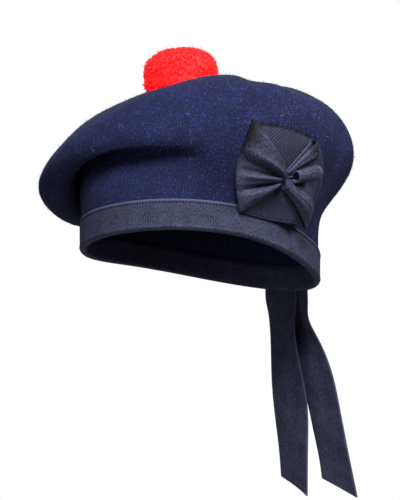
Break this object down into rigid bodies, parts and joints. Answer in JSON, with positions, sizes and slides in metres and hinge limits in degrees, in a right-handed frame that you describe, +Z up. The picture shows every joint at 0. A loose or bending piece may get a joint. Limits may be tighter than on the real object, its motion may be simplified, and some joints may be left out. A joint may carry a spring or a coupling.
{
  "type": "balmoral bonnet",
  "caption": "Soft felted cap with a full crown drooping to one side, ribbed ribbon binding, wool pompom, square ribbon cockade and ribbon tails.",
  "frame": {"origin": "middle of the head opening, where the bonnet rests on the head", "axes": "+Z up as it is worn, -Y the way the wearer faces, +X the wearer's left, where the cockade is"},
  "size_m": [0.2405, 0.2512, 0.3393],
  "materials": {
    "navy_felted_wool": "felted wool with a short nap",
    "red_wool_yarn": "cut wool yarn",
    "black_grosgrain": "ribbed grosgrain ribbon"
  },
  "bodies": {
    "root": {"felt_crown": "navy_felted_wool", "toorie": "red_wool_yarn", "ribbon_band": "black_grosgrain", "cockade_base": "black_grosgrain", "cockade_loop_front": "black_grosgrain", "cockade_loop_back": "black_grosgrain", "cockade_curl": "black_grosgrain", "tail_left": "black_grosgrain", "tail_right": "black_grosgrain"}
  },
  "joints": []
}
